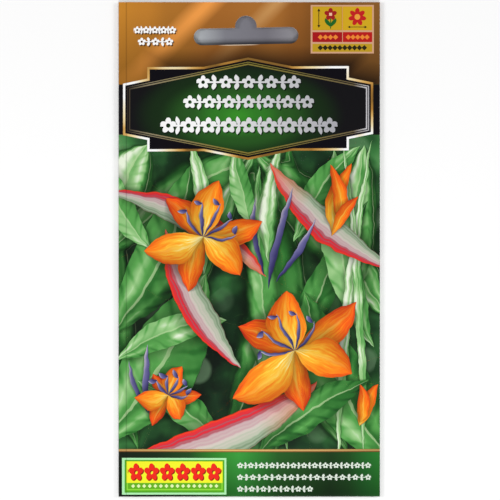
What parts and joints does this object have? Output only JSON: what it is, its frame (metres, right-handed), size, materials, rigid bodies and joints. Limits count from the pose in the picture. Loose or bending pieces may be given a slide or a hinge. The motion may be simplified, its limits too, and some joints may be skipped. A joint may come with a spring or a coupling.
{
  "type": "seed packet",
  "caption": "Flat paper seed packet with a punched euro hang slot in its header, glued side and bottom flaps, and loose seeds sealed inside a softly domed pouch.",
  "frame": {"origin": "centre of the packet's outline, on the surface it lies on", "axes": "+Y runs up the packet to its header, +Z out of its printed front, +X to the right as the front is read"},
  "size_m": [0.08, 0.1514, 0.0062],
  "materials": {
    "printed_front": "coated paper with a satin varnish over the print",
    "printed_back": "coated paper with a light print",
    "plain_inside": "uncoated inner side",
    "paste": "dry adhesive film",
    "seed_coat": "hard satin black seed with an orange hair tuft"
  },
  "bodies": {
    "root": {"front_panel": "printed_front", "back_panel": "printed_back", "side_flap": "plain_inside", "bottom_flap": "printed_back", "side_glue": "paste", "bottom_glue": "paste", "header_glue": "paste", "seed_1": "seed_coat", "seed_2": "seed_coat", "seed_3": "seed_coat", "seed_4": "seed_coat", "seed_5": "seed_coat"}
  },
  "joints": []
}
